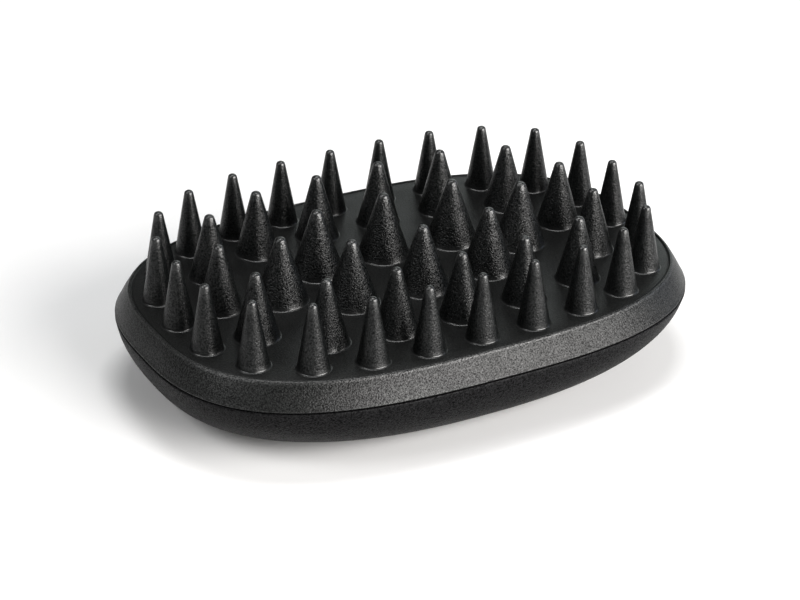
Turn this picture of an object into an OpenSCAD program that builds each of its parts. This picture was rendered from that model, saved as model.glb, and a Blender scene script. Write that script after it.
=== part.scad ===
/* [Body] */
// Length across the widest outline, at the seam
body_length = 128.4; // [115:0.2:140]
// Width across the widest outline, at the seam
body_width = 91; // [80:0.5:100]
// Height of the seam above the resting face
seam_height = 16.2; // [15.5:0.1:18]
// Height of the bevelled rim, from the seam up to the floor that the fingers stand on
rim_height = 5.7; // [5:0.1:7]
// How far the rim slopes in at each end
rim_slope_end = 3; // [1.5:0.1:4]
// How far the rim slopes in at each side
rim_slope_side = 3; // [1.5:0.1:4]
// Width of the shadow gap between the face and the grip
seam_gap = 0.2; // [0.2:0.1:0.5]
// How far the back curves in from each end to the flat resting oval
back_round_end = 21.5; // [16:0.5:26]
// How far the back curves in from each side to the flat resting oval
back_round_side = 20; // [14:0.5:23]

/* [Walls] */
// Thickness of the soft palm grip
grip_wall = 2; // [1.5:0.1:2.5]
// Thickness of the stiff core shell
core_wall = 2.6; // [2:0.1:3]
// Thickness of the rubber over the backing plate
floor_skin = 2; // [1.5:0.1:2.4]
// Thickness of the backing plate
plate_thickness = 2; // [1.6:0.1:2.2]
// Thickness of the stiffening ribs
rib_thickness = 1.8; // [1.2:0.1:2.4]

/* [Fingers] */
// Fingers in the outer ring
outer_count = 24; // [20:1:28]
// Fingers in the middle ring
middle_count = 15; // [12:1:16]
// Fingers in the centre ring
centre_count = 8; // [6:1:9]
// Height of an outer finger
outer_height = 15.2; // [12:0.1:18]
// Height of a middle or centre finger
inner_height = 15.1; // [12:0.1:18]

/* [Screws] */
// Shank diameter of the shell screws
screw_d = 2.9; // [2.5:0.1:3.2]
// Shank length of the shell screws
screw_length = 10.5; // [9:0.5:11]
// Distance of the screws from the middle, along the body
screw_x = 31; // [28:0.5:33]
// Distance of the screws from the middle, across the body
screw_y = 13; // [11:0.5:14]

/* [Hidden] */
floor_z = seam_height + rim_height;
half_length = body_length / 2;
half_width = body_width / 2;
// Squareness of the outlines: 2 is an ellipse, and more is squarer
outline_square = 2.8;
base_square = 2.3;
outline_sides = 96;
back_bands = 9;

// The backing plate sits just inside the lip of the rim
plate_inset = 0.9;
plate_top = floor_z - floor_skin;
plate_bottom = plate_top - plate_thickness;
plate_a = half_length - rim_slope_end - plate_inset;
plate_b = half_width - rim_slope_side - plate_inset;
// How far the rubber lip is tucked in under the plate
tuck = 4;
face_bottom = seam_height + seam_gap / 2;

// Pegs moulded on the face, which pull through the plate between the finger rings
peg_count = 8;
peg_oval = [48, 29.5];
peg_d = 3.6;
peg_head_d = 6;
peg_head_height = 1.2;

// Screw towers: the core's stand on its floor and the plate's hang down to meet them
tower_meet_z = 10.5;
tower_d = 8.4;
tower_bore_d = 3.4;
plate_tower_d = 7.4;
pilot_d = 3;
head_d = 5.6;
head_height = 2.2;
counterbore_d = 6.4;
head_seat_z = grip_wall + 3.2;
drive_width = 3.2;
drive_slot = 0.9;
drive_depth = 1.2;

rib_top = 12;
cross_ribs = [-18, 18];

// Each ring: count, half length, half width, squareness, start as a part of one step,
// height, radius where the side meets the floor, tip radius
OUTER = [outer_count, 55, 36, 2.98, 0, outer_height, 3.65, 1.1];
MIDDLE = [middle_count, 43.8, 25, 3.37, -0.18, inner_height, 5, 1.25];
CENTRE = [centre_count, 30.3, 9.33, 2.68, 0, inner_height, 6.05, 1.4];
finger_fillet = 0.4;

function finger_name(ring, i) = str(ring, "_finger_", i < 10 ? "0" : "", i);
function finger_names(ring, count) = [for (i = [1:count]) finger_name(ring, i)];

// Point of a rounded oval with half sizes a and b at an angle seen from its middle
function oval_point(a, b, square, angle) =
    let (x = abs(cos(angle)) / a, y = abs(sin(angle)) / b)
    let (r = pow(pow(x, square) + pow(y, square), -1 / square))
    [r * cos(angle), r * sin(angle)];

function oval(a, b, square, sides = outline_sides) =
    [for (i = [0:sides - 1]) oval_point(a, b, square, 360 * i / sides)];

// Distance walked along the oval from its -X end, as [distance, degrees] for lookup()
function oval_walk(a, b, square) = [
    for (
        i = 0, walked = 0;
        i <= 360;
        walked = walked + norm(oval_point(a, b, square, i + 181) - oval_point(a, b, square, i + 180)),
        i = i + 1
    )
    [walked, i]
];

// Middle of finger i of a ring: equal steps along the oval, from the -X end
function finger_place(ring, i) =
    let (a = ring[1], b = ring[2], square = ring[3])
    let (walk = oval_walk(a, b, square))
    let (part = (i - 1 + ring[4]) / ring[0])
    let (turn = lookup((part - floor(part)) * walk[360][0], walk))
    oval_point(a, b, square, 180 + turn);

// Outline of the back at a depth angle: 0 at the seam, 90 at the resting face. inset is
// the distance in from the outer surface. Gives [half length, half width, squareness, z].
function back_section(inset, depth) = [
    half_length - inset - (back_round_end - inset) * (1 - cos(depth)),
    half_width - inset - (back_round_side - inset) * (1 - cos(depth)),
    outline_square + (base_square - outline_square) * sin(depth),
    seam_height - (seam_height - inset) * sin(depth)
];

function at_height(points, z) = [for (p = points) [p[0], p[1], z]];

function section_ring(s, z) = at_height(oval(s[0], s[1], s[2]), z);

// Rings of one wall of the back, from its top edge at top_z down to its floor
function back_rings(inset, top_z) = concat(
    [section_ring(back_section(inset, 0), top_z)],
    [
        for (k = [1:back_bands])
        let (s = back_section(inset, 90 * k / back_bands))
        section_ring(s, min(s[3], top_z - 0.1))
    ]
);

// A closed skin through rings of points, from the first ring to the last
module skin(rings) {
    sides = len(rings[0]);
    points = [for (ring = rings) each ring];
    last = (len(rings) - 1) * sides;
    walls = [
        for (k = [0:len(rings) - 2], i = [0:sides - 1])
        let (j = (i + 1) % sides, here = k * sides, next = here + sides)
        each [
            [here + i, here + j, next + j],
            [here + i, next + j, next + i]
        ]
    ];
    first_cap = [for (i = [sides - 1:-1:0]) i];
    last_cap = [for (i = [0:sides - 1]) last + i];
    polyhedron(points, concat([first_cap], walls, [last_cap]), convexity = 6);
}

// An open tray: down the outer wall, across its underside, and back up the inner wall
module tray(outer_inset, inner_inset, top_z) {
    outer = back_rings(outer_inset, top_z);
    inner = back_rings(inner_inset, top_z);
    sides = outline_sides;
    count = len(outer);
    points = [for (ring = concat(outer, inner)) each ring];
    outer_walls = [
        for (k = [0:count - 2], i = [0:sides - 1])
        let (j = (i + 1) % sides, here = k * sides, next = here + sides)
        each [[here + i, here + j, next + j], [here + i, next + j, next + i]]
    ];
    inner_walls = [
        for (k = [count:2 * count - 2], i = [0:sides - 1])
        let (j = (i + 1) % sides, here = k * sides, next = here + sides)
        each [[here + i, next + j, here + j], [here + i, next + i, next + j]]
    ];
    edge = [
        for (i = [0:sides - 1])
        let (j = (i + 1) % sides, inside = count * sides)
        each [[i, inside + j, j], [i, inside + i, inside + j]]
    ];
    underside = [for (i = [0:sides - 1]) (count - 1) * sides + i];
    floor_face = [for (i = [sides - 1:-1:0]) (2 * count - 1) * sides + i];
    polyhedron(points, concat(outer_walls, inner_walls, edge, [underside, floor_face]), convexity = 6);
}

module oval_slab(a, b, square, low, high) {
    translate([0, 0, low])
        linear_extrude(high - low)
            polygon(oval(a, b, square));
}

module at_screws() {
    for (x = [-screw_x, screw_x], y = [-screw_y, screw_y])
        translate([x, y, 0])
            children();
}

module at_pegs() {
    for (i = [0:peg_count - 1])
        let (turn = 360 * (i + 0.5) / peg_count)
        translate([peg_oval[0] * cos(turn), peg_oval[1] * sin(turn), 0])
            children();
}

module column(d, low, high) {
    translate([0, 0, low])
        cylinder(d = d, h = high - low, $fn = 48);
}

// Rubber floor and bevelled rim, stretched over the backing plate like a boot
module rubber_face() {
    rim_edge = 0.5;
    lip_a = half_length - rim_slope_end;
    lip_b = half_width - rim_slope_side;
    color("#26282a") {
        difference() {
            skin([
                at_height(oval(lip_a - rim_edge, lip_b - rim_edge, outline_square), floor_z),
                at_height(oval(lip_a, lip_b, outline_square), floor_z - rim_edge / 2),
                at_height(oval(half_length, half_width, outline_square), face_bottom + rim_edge),
                at_height(oval(half_length, half_width, outline_square), face_bottom)
            ]);
            oval_slab(plate_a, plate_b, outline_square, plate_bottom, plate_top);
            oval_slab(plate_a - tuck, plate_b - tuck, outline_square, face_bottom - 1, plate_bottom + 0.1);
        }
        at_pegs() {
            column(peg_d, plate_bottom - peg_head_height / 2, plate_top + 0.5);
            column(peg_head_d, plate_bottom - peg_head_height, plate_bottom);
        }
    }
}

// Stiff plate inside the rubber, with the towers that the screws bite into
module backing_plate() {
    color("#4a4d50")
    difference() {
        union() {
            oval_slab(plate_a, plate_b, outline_square, plate_bottom, plate_top);
            at_screws()
                column(plate_tower_d, tower_meet_z, plate_bottom + 0.5);
        }
        at_pegs()
            column(peg_d, plate_bottom - 1, plate_top + 1);
        at_screws()
            column(pilot_d, tower_meet_z - 1, plate_bottom - 0.6);
    }
}

// Rib across the tray at x, its ends sunk into the curved wall
module cross_rib(x) {
    sunk = core_wall / 2;
    steps = 6;
    half = [
        for (k = [0:steps])
        let (depth = 90 - 9 * k, s = back_section(grip_wall + sunk, depth))
        if (s[3] < rib_top)
        [s[1] * pow(1 - pow(abs(x) / s[0], s[2]), 1 / s[2]), s[3]]
    ];
    top = [half[len(half) - 1][0], rib_top];
    side = concat(half, [top]);
    other_side = [for (k = [len(side) - 1:-1:0]) [-side[k][0], side[k][1]]];
    translate([x - rib_thickness / 2, 0, 0])
        rotate([90, 0, 90])
            linear_extrude(rib_thickness)
                polygon(concat(side, other_side));
}

// Rib along the middle of the tray
module long_rib() {
    sunk = core_wall / 2;
    half = [
        for (k = [0:6])
        let (s = back_section(grip_wall + sunk, 90 - 9 * k))
        if (s[3] < rib_top)
        [s[0], s[3]]
    ];
    side = concat(half, [[half[len(half) - 1][0], rib_top]]);
    other_side = [for (k = [len(side) - 1:-1:0]) [-side[k][0], side[k][1]]];
    translate([0, rib_thickness / 2, 0])
        rotate([90, 0, 0])
            linear_extrude(rib_thickness)
                polygon(concat(side, other_side));
}

// Stiff hollow tray under the grip, with its ribs and screw towers
module core_shell() {
    color("#5a5d60")
    difference() {
        union() {
            tray(grip_wall, grip_wall + core_wall, face_bottom);
            for (x = cross_ribs)
                cross_rib(x);
            long_rib();
            at_screws()
                column(tower_d, grip_wall + core_wall / 2, tower_meet_z);
        }
        at_screws() {
            column(counterbore_d, grip_wall - 1, head_seat_z);
            column(tower_bore_d, grip_wall, tower_meet_z + 1);
        }
    }
}

// Soft palm grip, bonded over the core shell
module palm_grip() {
    color("#1e1f21")
        tray(0, grip_wall, seam_height - seam_gap / 2);
}

// Four pan-head screws with a cross drive, heads down
module shell_screws() {
    color("#b0b3b6")
    at_screws()
        difference() {
            union() {
                column(head_d, head_seat_z - head_height, head_seat_z);
                column(screw_d, head_seat_z - 0.5, head_seat_z + screw_length);
            }
            for (turn = [0, 90])
                rotate(turn)
                    translate([0, 0, head_seat_z - head_height])
                        cube([drive_width, drive_slot, 2 * drive_depth], center = true);
        }
}

// Tapered finger: a small fillet at its foot, a straight side and a round tip
module finger(height, foot_r, tip_r) {
    tip_centre = height - tip_r;
    lean = acos(tip_r / norm([foot_r, tip_centre])) - atan2(tip_centre, foot_r);
    fillet_x = (tip_r + finger_fillet - (finger_fillet - tip_centre) * sin(lean)) / cos(lean);
    foot = [
        for (k = [0:4])
        let (turn = 90 - (90 - lean) * k / 4)
        [fillet_x - finger_fillet * cos(turn), finger_fillet - finger_fillet * sin(turn)]
    ];
    tip = [
        for (k = [0:5])
        let (turn = lean + (90 - lean) * k / 5)
        [tip_r * cos(turn), tip_centre + tip_r * sin(turn)]
    ];
    rotate_extrude($fn = 48)
        polygon(concat([[0, 0]], foot, tip));
}

module ring_finger(ring, i) {
    place = finger_place(ring, i);
    color("#18191a")
    translate([place[0], place[1], floor_z])
        finger(ring[5], ring[6], ring[7]);
}

rubber_face();
backing_plate();
core_shell();
palm_grip();
shell_screws();
for (i = [1:outer_count])
    ring_finger(OUTER, i);
for (i = [1:middle_count])
    ring_finger(MIDDLE, i);
for (i = [1:centre_count])
    ring_finger(CENTRE, i);
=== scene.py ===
import math

import bmesh
import bpy
from mathutils import Matrix, Vector


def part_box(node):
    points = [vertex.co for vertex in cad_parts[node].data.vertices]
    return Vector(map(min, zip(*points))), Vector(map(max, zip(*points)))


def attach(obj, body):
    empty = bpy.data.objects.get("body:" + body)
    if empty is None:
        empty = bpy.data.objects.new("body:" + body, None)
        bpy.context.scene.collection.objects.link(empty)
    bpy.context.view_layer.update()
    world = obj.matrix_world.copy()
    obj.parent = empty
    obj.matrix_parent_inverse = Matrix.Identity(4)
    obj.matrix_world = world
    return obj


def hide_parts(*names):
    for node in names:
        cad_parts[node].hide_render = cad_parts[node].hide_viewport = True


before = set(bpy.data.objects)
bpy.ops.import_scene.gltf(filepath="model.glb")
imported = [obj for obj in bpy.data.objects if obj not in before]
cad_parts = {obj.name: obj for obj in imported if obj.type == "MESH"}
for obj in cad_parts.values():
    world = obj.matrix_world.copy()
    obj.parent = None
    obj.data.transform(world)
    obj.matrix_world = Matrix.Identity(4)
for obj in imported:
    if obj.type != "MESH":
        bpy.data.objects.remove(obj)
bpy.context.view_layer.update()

MM = 0.001
scene = bpy.context.scene


# Rubber face: the soft black moulding that carries the fingers. It is compression
# moulded with a spark-eroded grain, stretched over the backing plate like a boot, and
# its lip is tucked in under the plate's edge.
PLATE_THICKNESS = 2 * MM
PLATE_INSET = 0.9 * MM
OUTLINE_SQUARE = 2.8
LIP_TUCK = 4 * MM
LIP_RISE = 0.1 * MM
LIP_WIDTH = 0.5 * MM
LIP_ROUND = 0.6 * MM
# Share of its own width that the bead round the floor leans out by
BEAD_LEAN = 0.25
BEAD_WEAR = 0.3
GROOVE_WIDTH = 0.45 * MM
GROOVE_DEPTH = 0.16 * MM
SEAM_ROUND = 0.22 * MM
SEAM_WEAR = 0.5
RIM_CROWN = 0.12 * MM
# Parts of the way down the rim where its crowned middle starts and ends
RIM_START = 0.12
RIM_END = 0.92
RIM_STEPS = 10
ROUND_STEPS = 5
OVAL_SIDES = 256
FLOOR_RINGS = (0.3, 0.6, 0.9)
FLOOR_GRAIN = 0.5
RIM_GRAIN = 1

face_low, face_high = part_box("rubber_face")
plate_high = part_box("backing_plate")[1]
floor_z = face_high.z
face_bottom = face_low.z
seam_a, seam_b = face_high.x, face_high.y
plate_a, plate_b = plate_high.x, plate_high.y
plate_top = plate_high.z
plate_bottom = plate_top - PLATE_THICKNESS
lip_a, lip_b = plate_a + PLATE_INSET, plate_b + PLATE_INSET
lip_z = floor_z + LIP_RISE
sunk_z = floor_z - LIP_RISE


def oval_reach(a, b, square, turn):
    """Distance from the middle of a rounded oval to its edge, at an angle."""
    return (abs(math.cos(turn) / a) ** square + abs(math.sin(turn) / b) ** square) ** (-1 / square)


def shape_ring(bm, verts, a, b, square, z, wear_and_sheen, grain):
    """Moves a ring of vertices on to an oval at height z, each along its own direction."""
    for v in verts:
        turn = math.atan2(v.co.y, v.co.x)
        reach = oval_reach(a, b, square, turn)
        v.co = Vector((reach * math.cos(turn), reach * math.sin(turn), z))
        v[bm.verts.layers.float["wear_and_sheen"]] = wear_and_sheen
        v[bm.verts.layers.float["grain"]] = grain


def oval_loft(bm, sections):
    """Skins a closed body through ovals (a, b, square, z, wear, grain), first to last."""
    bm.verts.layers.float.new("wear_and_sheen")
    bm.verts.layers.float.new("grain")
    circle = bmesh.ops.create_circle(bm, segments=OVAL_SIDES, radius=1)["verts"]
    edges = list({e for v in circle for e in v.link_edges})
    first_edges = edges
    shape_ring(bm, circle, *sections[0])
    for section in sections[1:]:
        made = bmesh.ops.extrude_edge_only(bm, edges=edges)["geom"]
        verts = [g for g in made if isinstance(g, bmesh.types.BMVert)]
        edges = [g for g in made if isinstance(g, bmesh.types.BMEdge) and g.is_boundary]
        shape_ring(bm, verts, *section)
    bmesh.ops.edgeloop_fill(bm, edges=first_edges)
    bmesh.ops.edgeloop_fill(bm, edges=edges)
    bmesh.ops.recalc_face_normals(bm, faces=bm.faces)


def finished_piece(bm, name, material, node_names):
    """Makes the mesh an object that stands for its CAD nodes and rides with them."""
    mesh = bpy.data.meshes.new(name)
    bm.to_mesh(mesh)
    bm.free()
    mesh.polygons.foreach_set("use_smooth", [True] * len(mesh.polygons))
    mesh.materials.append(material)
    piece = bpy.data.objects.new(name, mesh)
    scene.collection.objects.link(piece)
    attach(piece, "root")
    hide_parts(*node_names)


def new_material(name):
    """A material with its node tree, its shader and the coordinates its patterns stand on."""
    material = bpy.data.materials.new(name)
    material.use_nodes = True
    tree = material.node_tree
    place = tree.nodes.new("ShaderNodeTexCoord").outputs["Object"]
    return material, tree, tree.nodes["Principled BSDF"], place


def noise(tree, place, scale, detail, roughness=0.5, distortion=0):
    node = tree.nodes.new("ShaderNodeTexNoise")
    node.inputs["Scale"].default_value = scale
    node.inputs["Detail"].default_value = detail
    node.inputs["Roughness"].default_value = roughness
    node.inputs["Distortion"].default_value = distortion
    tree.links.new(place, node.inputs["Vector"])
    return node.outputs["Fac"]


def attribute(tree, name):
    node = tree.nodes.new("ShaderNodeAttribute")
    node.attribute_name = name
    return node.outputs["Fac"]


def combine(tree, operation, *values):
    """Result of a sum of this kind on sockets and plain numbers."""
    node = tree.nodes.new("ShaderNodeMath")
    node.operation = operation
    for socket, value in zip(node.inputs, values):
        if isinstance(value, bpy.types.NodeSocket):
            tree.links.new(value, socket)
        else:
            socket.default_value = value
    return node.outputs[0]


def spread(tree, value, low, high, to_low=0, to_high=1):
    """Value's range from low to high, stretched to run from to_low to to_high."""
    node = tree.nodes.new("ShaderNodeMapRange")
    node.inputs["From Min"].default_value = low
    node.inputs["From Max"].default_value = high
    node.inputs["To Min"].default_value = to_low
    node.inputs["To Max"].default_value = to_high
    tree.links.new(value, node.inputs["Value"])
    return node.outputs["Result"]


def mix_colours(tree, share, first, second):
    node = tree.nodes.new("ShaderNodeMix")
    node.data_type = "RGBA"
    node.inputs["A"].default_value = (*first, 1)
    node.inputs["B"].default_value = (*second, 1)
    tree.links.new(share, node.inputs["Factor"])
    return node.outputs["Result"]


def add_bump(tree, shader, height, strength, distance):
    bump = tree.nodes.new("ShaderNodeBump")
    bump.inputs["Strength"].default_value = strength
    bump.inputs["Distance"].default_value = distance
    tree.links.new(height, bump.inputs["Height"])
    tree.links.new(bump.outputs["Normal"], shader.inputs["Normal"])


# How far the pebble pattern swings either side of its middle, for the colour and the shine
PIT_TONE, TOP_TONE = -0.18, 0.22
SHINE_SWING = 0.17
# How much lighter smoothed, handled surfaces are drawn; on the fingers' fillets this is a painted
# highlight
WEAR_AND_SHEEN_TONE = 0.1
PATCH_SCALE = 90
PATCH_ROUGHNESS = 0.04


def moulded_rubber(name, colour, dust_and_sheen_colour, roughness, gloss, grain, depth, sparkle, polish):
    """Black rubber: grain is the width of a pebble of its texture and depth its height.

    The second colour is that of the pebbles' tops. Sparkle is how much more the tops shine than
    the pits between them, and polish is how much more a smoothed surface shines.

    The mesh says where the grain is full (the grain attribute), and where handling or the
    polished steel of the mould has left the surface smooth (the attribute of wear and sheen).
    These smoothed places are also drawn lighter, towards the second colour; on the fingers'
    fillets this lighter colour is a painted highlight.
    """
    material, tree, shader, place = new_material(name)
    wear_and_sheen_share = attribute(tree, "wear_and_sheen")
    pebbles = noise(tree, place, 1 / grain, 2, roughness=0.6)
    relief = combine(tree, "SUBTRACT", pebbles, 0.5)
    height = combine(tree, "MULTIPLY", relief, attribute(tree, "grain"))

    # Handled surfaces are drawn lighter, and the fingers' fillets too, there as a painted
    # highlight
    dust_and_sheen = combine(tree, "MULTIPLY_ADD", wear_and_sheen_share, WEAR_AND_SHEEN_TONE, height)
    tone = spread(tree, dust_and_sheen, PIT_TONE, TOP_TONE)
    tree.links.new(mix_colours(tree, tone, colour, dust_and_sheen_colour), shader.inputs["Base Color"])

    patches = noise(tree, place, PATCH_SCALE, 4)
    smooth, rough = roughness - PATCH_ROUGHNESS, roughness + PATCH_ROUGHNESS
    tree.links.new(spread(tree, patches, 0.3, 0.7, smooth, rough), shader.inputs["Roughness"])

    pit_gloss, top_gloss = gloss * (1 - sparkle), gloss * (1 + sparkle)
    shine = spread(tree, height, -SHINE_SWING, SHINE_SWING, pit_gloss, top_gloss)
    polished = combine(tree, "MULTIPLY_ADD", wear_and_sheen_share, polish, 1)
    shown_gloss = combine(tree, "MULTIPLY", shine, polished)
    tree.links.new(shown_gloss, shader.inputs["Specular IOR Level"])

    add_bump(tree, shader, height, 1, depth)
    return material


def rim_section(part):
    """An oval part of the way down the bevelled rim, crowned a little in its middle."""
    crown = RIM_CROWN * 4 * part * (1 - part)
    return (
        lip_a + (seam_a - lip_a) * part + crown,
        lip_b + (seam_b - lip_b) * part + crown,
        OUTLINE_SQUARE,
        lip_z + (face_bottom - lip_z) * part + crown / 2,
        0,
        RIM_GRAIN,
    )


# The floor lies a little below the lip, which stands round it as a narrow bead with a
# fine groove along its inner side
floor_sections = [
    (lip_a * out, lip_b * out, OUTLINE_SQUARE, sunk_z, 0, FLOOR_GRAIN) for out in FLOOR_RINGS
]
groove_sections = []
for k in range(2 * ROUND_STEPS):
    part = k / (2 * ROUND_STEPS)
    inset = LIP_WIDTH + GROOVE_WIDTH * (1 - part)
    drop = GROOVE_DEPTH * math.sin(math.pi * part) ** 2
    groove_sections.append(
        (lip_a - inset, lip_b - inset, OUTLINE_SQUARE, sunk_z - drop, 0, FLOOR_GRAIN)
    )
bead_sections = []
for k in range(ROUND_STEPS + 1):
    part = k / ROUND_STEPS
    inset = LIP_WIDTH * (1 - BEAD_LEAN * part)
    bead_z = sunk_z + 2 * LIP_RISE * (3 - 2 * part) * part**2
    bead_sections.append(
        (lip_a - inset, lip_b - inset, OUTLINE_SQUARE, bead_z, BEAD_WEAR * part, FLOOR_GRAIN)
    )

rim_slope = math.atan2(lip_z - face_bottom, (seam_a - lip_a + seam_b - lip_b) / 2)
lip_setback = LIP_ROUND * math.tan(rim_slope / 2)
lip_sections = []
for k in range(ROUND_STEPS + 1):
    turn = rim_slope * k / ROUND_STEPS
    out = LIP_ROUND * math.sin(turn) - lip_setback
    down = LIP_ROUND * (1 - math.cos(turn))
    lip_sections.append((lip_a + out, lip_b + out, OUTLINE_SQUARE, lip_z - down, 1, RIM_GRAIN))

rim_sections = [
    rim_section(RIM_START + (RIM_END - RIM_START) * k / RIM_STEPS) for k in range(RIM_STEPS + 1)
]

seam_sections = []
for k in range(ROUND_STEPS + 1):
    turn = math.pi / 2 * k / ROUND_STEPS
    back = SEAM_ROUND * (1 - math.cos(turn))
    seam_z = face_bottom + SEAM_ROUND * (1 - math.sin(turn))
    seam_sections.append(
        (seam_a - back, seam_b - back, OUTLINE_SQUARE, seam_z, SEAM_WEAR, RIM_GRAIN)
    )

hidden_sections = [
    (plate_a - LIP_TUCK, plate_b - LIP_TUCK, OUTLINE_SQUARE, face_bottom, 0, 0),
    (plate_a - LIP_TUCK, plate_b - LIP_TUCK, OUTLINE_SQUARE, plate_bottom, 0, 0),
    (plate_a, plate_b, OUTLINE_SQUARE, plate_bottom, 0, 0),
    (plate_a, plate_b, OUTLINE_SQUARE, plate_top, 0, 0),
    (plate_a / 4, plate_b / 4, OUTLINE_SQUARE, plate_top, 0, 0),
]

bm = bmesh.new()
top_sections = floor_sections + groove_sections + bead_sections
side_sections = lip_sections + rim_sections + seam_sections
oval_loft(bm, top_sections + side_sections + hidden_sections)

# Headed pegs under the floor, pulled through the plate's holes
PEG_COUNT = 8
PEG_OVAL = (48 * MM, 29.5 * MM)
PEG_RADIUS = 1.8 * MM
PEG_SIDES = 24
PEG_HEAD_RADIUS = 3 * MM
PEG_HEAD_HEIGHT = 1.2 * MM
PEG_ROOT = 0.3 * MM
for k in range(PEG_COUNT):
    turn = math.tau * (k + 0.5) / PEG_COUNT
    x, y = PEG_OVAL[0] * math.cos(turn), PEG_OVAL[1] * math.sin(turn)
    for radius, low, high in (
        (PEG_RADIUS, plate_bottom - PEG_HEAD_HEIGHT / 2, plate_top + PEG_ROOT),
        (PEG_HEAD_RADIUS, plate_bottom - PEG_HEAD_HEIGHT, plate_bottom),
    ):
        bmesh.ops.create_cone(
            bm,
            cap_ends=True,
            segments=PEG_SIDES,
            radius1=radius,
            radius2=radius,
            depth=high - low,
            matrix=Matrix.Translation((x, y, (low + high) / 2)),
        )

face_rubber = moulded_rubber(
    "face_rubber",
    colour=(0.001, 0.0012, 0.0012),
    dust_and_sheen_colour=(0.0095, 0.0105, 0.01),
    roughness=0.42,
    gloss=0.37,
    grain=0.34 * MM,
    depth=0.1 * MM,
    sparkle=0.65,
    polish=1,
)
finished_piece(bm, "moulded_rubber_face", face_rubber, ["rubber_face"])


# Fingers: tapered rubber fingers with rounded tips, moulded in one with the face. The
# mould's pebbled grain is deepest on the broad inner ones, and each foot ends in a small
# polished fillet, drawn lighter in colour as a painted highlight.
FINGER_ROOT = 0.4 * MM
FINGER_ROWS = 12
FINGER_SIDES = 40
FINGER_FILLET = 0.4 * MM
FILLET_STEPS = 6
# How polished the fillet is; the same value lightens its colour, a painted highlight
FILLET_POLISH_AND_SHEEN = 0.75
# Share of the fillet's height that stays fully polished and fully lightened, the lighter colour a
# painted highlight
FILLET_SMOOTH = 0.6
TIP_STEPS = 10
# How much squarer a tip is than half a ball
TIP_SHOULDER = 0.07
TIP_WEAR = 2.5 * MM
# Share of the grain that is worn off the top of a tip
TIP_SMOOTH = 0.6
MERGE_DISTANCE = 0.001 * MM
# Radius where the side meets the floor, tip radius and share of the full grain
RINGS = {
    "outer": (3.65 * MM, 1.1 * MM, 0.55),
    "middle": (5 * MM, 1.25 * MM, 0.75),
    "centre": (6.05 * MM, 1.4 * MM, 0.9),
}


def finger_profile(height, foot_r, tip_r, fillet):
    """Half section of a finger, from the middle of its root up to its tip."""
    tip_z = height - tip_r
    lean = math.acos(tip_r / math.hypot(foot_r, tip_z)) - math.atan2(tip_z, foot_r)
    fillet_x = (tip_r + fillet - (fillet - tip_z) * math.sin(lean)) / math.cos(lean)
    points = [(0, -FINGER_ROOT), (fillet_x, -FINGER_ROOT)]
    for k in range(FILLET_STEPS + 1):
        turn = math.pi / 2 - (math.pi / 2 - lean) * k / FILLET_STEPS
        points.append((fillet_x - fillet * math.cos(turn), fillet - fillet * math.sin(turn)))
    side_low = points[-1]
    side_high = (tip_r * math.cos(lean), tip_z + tip_r * math.sin(lean))
    for k in range(1, FINGER_ROWS):
        part = k / FINGER_ROWS
        points.append(tuple(low + (high - low) * part for low, high in zip(side_low, side_high)))
    for k in range(TIP_STEPS + 1):
        part = k / TIP_STEPS
        turn = lean + (math.pi / 2 - lean) * part
        reach = tip_r * (1 + TIP_SHOULDER * math.sin(math.pi * part) ** 2)
        points.append((reach * math.cos(turn), tip_z + reach * math.sin(turn)))
    return points


finger_rubber = moulded_rubber(
    "finger_rubber",
    colour=(0.0005, 0.0008, 0.0008),
    dust_and_sheen_colour=(0.008, 0.009, 0.009),
    roughness=0.33,
    gloss=0.34,
    grain=0.38 * MM,
    depth=0.22 * MM,
    sparkle=1,
    polish=2,
)

for ring, (foot_r, tip_r, full_grain) in RINGS.items():
    for name in sorted(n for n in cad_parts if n.startswith(ring + "_finger_")):
        low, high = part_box(name)
        middle = (low + high) / 2
        height = high.z - sunk_z
        profile = finger_profile(height, foot_r, tip_r, FINGER_FILLET)
        bm = bmesh.new()
        verts = [bm.verts.new((x, 0, z)) for x, z in profile]
        edges = [bm.edges.new(pair) for pair in zip(verts, verts[1:])]
        bmesh.ops.spin(
            bm,
            geom=verts + edges,
            axis=(0, 0, 1),
            cent=(0, 0, 0),
            angle=math.tau,
            steps=FINGER_SIDES,
            use_merge=True,
        )
        bmesh.ops.remove_doubles(bm, verts=bm.verts, dist=MERGE_DISTANCE)
        bmesh.ops.recalc_face_normals(bm, faces=bm.faces)
        wear_and_sheen = bm.verts.layers.float.new("wear_and_sheen")
        grain = bm.verts.layers.float.new("grain")
        for v in bm.verts:
            tip_wear = max(0, 1 - (height - v.co.z) / TIP_WEAR)
            above_fillet = min(1, max(0, v.co.z / FINGER_FILLET - FILLET_SMOOTH))
            # The fillet gets a polish, and a lighter colour that is a painted highlight
            v[wear_and_sheen] = max(tip_wear, FILLET_POLISH_AND_SHEEN * (1 - above_fillet))
            v[grain] = full_grain * above_fillet * (1 - TIP_SMOOTH * tip_wear)
        bmesh.ops.translate(bm, verts=bm.verts, vec=(middle.x, middle.y, sunk_z))
        finished_piece(bm, name + "_rubber", finger_rubber, [name])


# Palm grip: the soft rounded back that fills the hand. It is a thin skin of satin
# thermoplastic rubber, bonded over the core shell, and ends in a shadow gap below the face.
grip_low, grip_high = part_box("palm_grip")
core_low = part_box("core_shell")[0]
SEAM_HEIGHT = 16.2 * MM
BACK_ROUND_END = 21.5 * MM
BACK_ROUND_SIDE = 20 * MM
BASE_SQUARE = 2.3
BASE_RINGS = (0.75, 0.5, 0.25)
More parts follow.
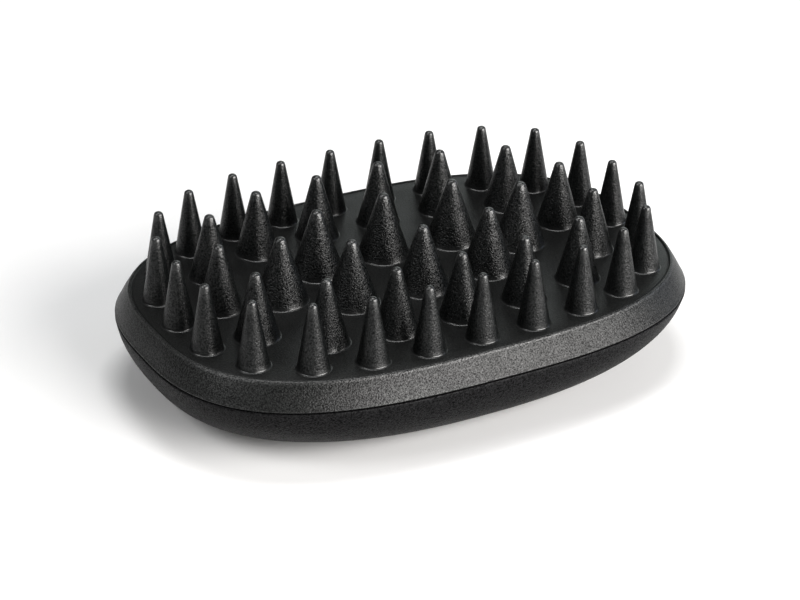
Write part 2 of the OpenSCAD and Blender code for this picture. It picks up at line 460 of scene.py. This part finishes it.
# The soft grip shrinks a little as it cools, which widens the shadow gap
GRIP_SHRINK = 0.1 * MM
GRIP_EDGE = 0.34 * MM
GRIP_EDGE_WEAR = 0.5
OUTSIDE_ROWS = 36
INSIDE_ROWS = 18
grip_wall = core_low.z - grip_low.z
grip_top = grip_high.z - GRIP_SHRINK


def back_section(inset, depth):
    """An oval of the back at a depth angle: 0 at the seam, a quarter turn at the base."""
    return (
        seam_a - inset - (BACK_ROUND_END - inset) * (1 - math.cos(depth)),
        seam_b - inset - (BACK_ROUND_SIDE - inset) * (1 - math.cos(depth)),
        OUTLINE_SQUARE + (BASE_SQUARE - OUTLINE_SQUARE) * math.sin(depth),
        SEAM_HEIGHT - (SEAM_HEIGHT - inset) * math.sin(depth),
        0,
        1,
    )


edge_sections = []
for k in range(ROUND_STEPS + 1):
    turn = math.pi / 2 * k / ROUND_STEPS
    back = GRIP_EDGE * (1 - math.sin(turn))
    edge_z = grip_top - GRIP_EDGE * (1 - math.cos(turn))
    edge_sections.append((seam_a - back, seam_b - back, OUTLINE_SQUARE, edge_z, GRIP_EDGE_WEAR, 1))

depths = [math.pi / 2 * k / OUTSIDE_ROWS for k in range(1, OUTSIDE_ROWS + 1)]
outside_sections = [back_section(0, depth) for depth in depths]
outside_sections = [s for s in outside_sections if s[3] < grip_top - 1.5 * GRIP_EDGE]
base_a, base_b = outside_sections[-1][:2]
base_sections = [(base_a * s, base_b * s, BASE_SQUARE, 0, 0, 1) for s in BASE_RINGS]

depths = [math.pi / 2 * k / INSIDE_ROWS for k in range(INSIDE_ROWS, 0, -1)]
inside_sections = [back_section(grip_wall, depth) for depth in depths]
floor_a, floor_b, floor_square, inside_floor_z = inside_sections[0][:4]
inside_floor = (floor_a / 4, floor_b / 4, floor_square, inside_floor_z, 0, 0)
inside_top = (seam_a - grip_wall, seam_b - grip_wall, OUTLINE_SQUARE, grip_top, 0, 0)

bm = bmesh.new()
inside = [inside_floor] + inside_sections + [inside_top]
oval_loft(bm, inside + edge_sections + outside_sections + base_sections)

grip_rubber = moulded_rubber(
    "grip_rubber",
    colour=(0.0005, 0.0005, 0.0006),
    dust_and_sheen_colour=(0.0075, 0.0075, 0.0082),
    roughness=0.46,
    gloss=0.11,
    grain=0.38 * MM,
    depth=0.14 * MM,
    sparkle=0.8,
    polish=0.5,
)
finished_piece(bm, "soft_palm_grip", grip_rubber, ["palm_grip"])


# Backing plate and core shell: the stiff inner mouldings that the rubber is held on.
# Both are glass-filled polypropylene straight from the tool, matt, with faint flow marks.
FLOW_SCALE = 140
FLOW_ROUGHNESS = 0.08
FLOW_DEPTH = 0.05 * MM
DARK_FLOW, PALE_FLOW = 0.8, 1.25


def moulded_plastic(name, colour, roughness):
    material, tree, shader, place = new_material(name)
    flow = noise(tree, place, FLOW_SCALE, 5, distortion=0.8)
    dark, pale = [c * DARK_FLOW for c in colour], [c * PALE_FLOW for c in colour]
    tree.links.new(mix_colours(tree, flow, dark, pale), shader.inputs["Base Color"])
    smooth, rough = roughness - FLOW_ROUGHNESS, roughness + FLOW_ROUGHNESS
    tree.links.new(spread(tree, flow, 0, 1, smooth, rough), shader.inputs["Roughness"])
    add_bump(tree, shader, flow, 0.4, FLOW_DEPTH)
    return material


def refinish(node_name, material):
    """Gives a piece that keeps its CAD shape its own finish."""
    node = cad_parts[node_name]
    node.data.materials.clear()
    node.data.materials.append(material)


refinish("backing_plate", moulded_plastic("plate_plastic", (0.02, 0.02, 0.022), 0.55))
refinish("core_shell", moulded_plastic("core_plastic", (0.012, 0.012, 0.013), 0.6))


# Shell screws: zinc-plated pan-head screws that pull the plate down on to the core
# shell. They are cold formed, and the plating is a little uneven.
ZINC = (0.56, 0.57, 0.6, 1)
PLATING_SCALE = 900
PLATING_DEPTH = 0.02 * MM

screw_steel, tree, shader, place = new_material("screw_steel")
shader.inputs["Metallic"].default_value = 1
shader.inputs["Base Color"].default_value = ZINC
plating = noise(tree, place, PLATING_SCALE, 4)
tree.links.new(spread(tree, plating, 0, 1, 0.22, 0.45), shader.inputs["Roughness"])
add_bump(tree, shader, plating, 0.3, PLATING_DEPTH)
refinish("shell_screws", screw_steel)


# Studio: a plain white table under soft boxes, and a long lens looking down on the brush
# from the front left. The picture is developed with slightly deeper blacks and whiter
# whites than the plain display curve gives.
TABLE_SIZE = 6
TABLE_WHITE = (0.86, 0.86, 0.86, 1)
TABLE_ROUGHNESS = 0.9
ROOM_LIGHT = 0.1
LIGHT_DISTANCE = 1.1
CAMERA_AZIMUTH, CAMERA_ELEVATION = -28.2, 26.8
CAMERA_DISTANCE = 0.5939
scene.view_settings.view_transform = "Standard"
scene.view_settings.exposure = 0.22
scene.view_settings.gamma = 0.9

bpy.ops.mesh.primitive_plane_add(size=TABLE_SIZE)
table = bpy.context.object
table.name = "white_table"
paper = bpy.data.materials.new("white_paper")
paper.use_nodes = True
paper.node_tree.nodes["Principled BSDF"].inputs["Base Color"].default_value = TABLE_WHITE
paper.node_tree.nodes["Principled BSDF"].inputs["Roughness"].default_value = TABLE_ROUGHNESS
table.data.materials.append(paper)

world = bpy.data.worlds.new("studio")
world.use_nodes = True
world.node_tree.nodes["Background"].inputs["Color"].default_value = (1, 1, 1, 1)
world.node_tree.nodes["Background"].inputs["Strength"].default_value = ROOM_LIGHT
scene.world = world

middle_of_floor = Vector((0, 0, floor_z))


def direction(azimuth, elevation):
    """Unit vector towards a place round the brush: azimuth 0 is its front, 90 its right end."""
    a, e = math.radians(azimuth), math.radians(elevation)
    return Vector((math.sin(a) * math.cos(e), -math.cos(a) * math.cos(e), math.sin(e)))


def soft_box(name, azimuth, elevation, size, power, tint):
    """A lamp of this size that faces the middle of the floor. Power is in watts."""
    light = bpy.data.lights.new(name, "AREA")
    light.color = tint
    light.shape = "RECTANGLE"
    light.size, light.size_y = size
    light.energy = power
    lamp = bpy.data.objects.new(name, light)
    towards = direction(azimuth, elevation)
    lamp.location = middle_of_floor + towards * LIGHT_DISTANCE
    lamp.rotation_mode = "QUATERNION"
    lamp.rotation_quaternion = towards.to_track_quat("Z", "Y")
    scene.collection.objects.link(lamp)


soft_box("key_box", 26, 21, (1.1, 0.68), 25, (1, 0.98, 0.96))
soft_box("top_box", 150, 80, (0.5, 0.5), 5, (1, 1, 1))
soft_box("left_box", -90, 42, (0.5, 0.45), 4, (1, 1, 1))
soft_box("back_box", 136, 20, (0.8, 0.4), 1.3, (0.93, 1, 0.98))
soft_box("right_box", 88, 17, (0.4, 0.4), 0.7, (0.66, 0.76, 1))

camera = bpy.data.objects.new("camera", bpy.data.cameras.new("camera"))
camera.data.sensor_width = 36
camera.data.lens = 118.7
camera.data.shift_x = -0.0036
camera.data.shift_y = -0.0379
back = direction(CAMERA_AZIMUTH, CAMERA_ELEVATION)
camera.location = middle_of_floor + back * CAMERA_DISTANCE
camera.rotation_mode = "QUATERNION"
camera.rotation_quaternion = back.to_track_quat("Z", "Y")
scene.collection.objects.link(camera)
scene.camera = camera
